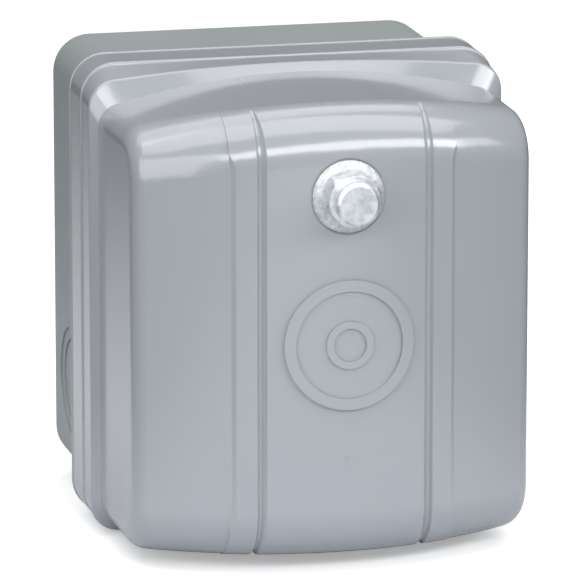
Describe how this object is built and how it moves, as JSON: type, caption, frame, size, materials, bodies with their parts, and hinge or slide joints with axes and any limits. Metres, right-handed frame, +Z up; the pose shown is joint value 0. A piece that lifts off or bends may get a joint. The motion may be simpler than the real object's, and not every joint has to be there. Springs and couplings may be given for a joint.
{
  "type": "magnetic motor starter",
  "caption": "Wall-mounting magnetic motor starter: grey moulded base box, domed cover held by a cap nut on a stud, and inside a coil-driven contactor with a thermal overload relay.",
  "frame": {"origin": "centre of the enclosure's rear mounting face", "axes": "+X to the right seen from the front, -Y towards the front (the cover), +Z up"},
  "size_m": [0.1084, 0.1297, 0.1204],
  "materials": {
    "base_plastic": "fine satin moulding",
    "cover_plastic": "smooth satin-gloss moulding",
    "knockout_plastic": "fine satin moulding",
    "gasket_rubber": "dull black",
    "zinc_steel": "bright zinc plate, lightly scratched",
    "plate_steel": "plain zinc plate",
    "ground_green": "green dyed plate",
    "lamination_steel": "stacked laminations with ground pole faces",
    "copper": "bare copper",
    "enamel_copper": "enamelled winding wire under clear varnish",
    "silver": "dull silver alloy",
    "brass": "plain brass",
    "black_phenolic": "thermoset moulding",
    "brown_phenolic": "thermoset moulding",
    "cream_nylon": "nylon moulding",
    "spring_steel": "spring wire",
    "heater_alloy": "resistance strip",
    "bimetal": "bimetal strip",
    "reset_blue": "smooth",
    "test_red": "smooth",
    "dial_white": "smooth"
  },
  "bodies": {
    "enclosure_base": {"base_housing": "base_plastic", "knockout_plug_left": "knockout_plastic", "knockout_plug_right": "knockout_plastic", "mounting_plate": "plate_steel", "plate_screws": "zinc_steel", "unit_screws": "zinc_steel", "ground_screw": "ground_green", "cover_stud": "zinc_steel", "stud_locknut": "zinc_steel", "contactor_lower_housing": "black_phenolic", "contactor_upper_housing": "black_phenolic", "contactor_arc_cover": "brown_phenolic", "arc_cover_screws": "zinc_steel", "magnet_core": "lamination_steel", "shading_rings": "copper", "coil_bobbin": "cream_nylon", "coil_winding": "enamel_copper", "coil_terminals": "brass", "return_springs": "spring_steel", "line_strips": "brass", "load_strips": "brass", "fixed_tips": "silver", "bus_links": "copper", "terminal_clamps": "zinc_steel", "terminal_screws": "zinc_steel", "overload_housing": "black_phenolic", "overload_cover": "black_phenolic", "overload_cover_screws": "zinc_steel", "heater_elements": "heater_alloy", "bimetal_strips": "bimetal", "load_terminals": "brass", "load_terminal_screws": "zinc_steel", "trip_pivot_pin": "zinc_steel", "trip_fixed_contact": "brass", "reset_spring": "spring_steel"},
    "cover": {"cover_shell": "cover_plastic", "badge_plaque": "cover_plastic", "cover_gasket": "gasket_rubber"},
    "washer": {"nut_washer": "zinc_steel"},
    "nut": {"cover_nut": "zinc_steel"},
    "armature_set": {"armature": "lamination_steel", "contact_carrier": "brown_phenolic", "moving_bridges": "copper", "moving_tips": "silver", "contact_springs": "spring_steel"},
    "trip_bar_body": {"trip_bar": "cream_nylon"},
    "trip_lever_body": {"trip_lever": "cream_nylon", "trip_blade": "brass"},
    "reset_body": {"reset_button": "reset_blue"},
    "test_body": {"test_button": "test_red"},
    "dial_body": {"current_dial": "dial_white"}
  },
  "joints": [
    {"name": "cover_lift", "type": "slide", "parent": "enclosure_base", "child": "cover", "axis": [0, -1, 0], "range_m": [0, 0.13]},
    {"name": "nut_back_off", "type": "slide", "parent": "cover", "child": "washer", "axis": [0, -1, 0], "range_m": [0, 0.00847]},
    {"name": "nut_turn", "type": "hinge", "parent": "washer", "child": "nut", "pos_m": [0, -0.12, 0.0363], "axis": [0, -1, 0], "range_deg": [0, 2160]},
    {"name": "armature_pull_in", "type": "slide", "parent": "enclosure_base", "child": "armature_set", "axis": [0, 1, 0], "range_m": [0, 0.005], "stiffness_N_per_m": 600, "springref_m": -0.003, "deforming": ["return_springs"]},
    {"name": "trip_slide", "type": "slide", "parent": "enclosure_base", "child": "trip_bar_body", "axis": [1, 0, 0], "range_m": [0, 0.002]},
    {"name": "trip_lever_turn", "type": "hinge", "parent": "enclosure_base", "child": "trip_lever_body", "pos_m": [0.017, -0.04, -0.0372], "axis": [0, 0, 1], "range_deg": [0, 25]},
    {"name": "reset_press", "type": "slide", "parent": "enclosure_base", "child": "reset_body", "axis": [0, 1, 0], "range_m": [0, 0.0025], "stiffness_N_per_m": 300, "springref_m": -0.002, "deforming": ["reset_spring"]},
    {"name": "test_press", "type": "slide", "parent": "enclosure_base", "child": "test_body", "axis": [0, 1, 0], "range_m": [0, 0.0015]},
    {"name": "dial_turn", "type": "hinge", "parent": "enclosure_base", "child": "dial_body", "pos_m": [-0.012, -0.063, -0.036], "axis": [0, -1, 0], "range_deg": [-135, 135]}
  ],
  "couplings": [
    {"joint": "nut_back_off", "follows": "nut_turn", "m_per_rad": 0.00022459},
    {"joint": "trip_lever_turn", "follows": "trip_slide", "rad_per_m": 218}
  ]
}
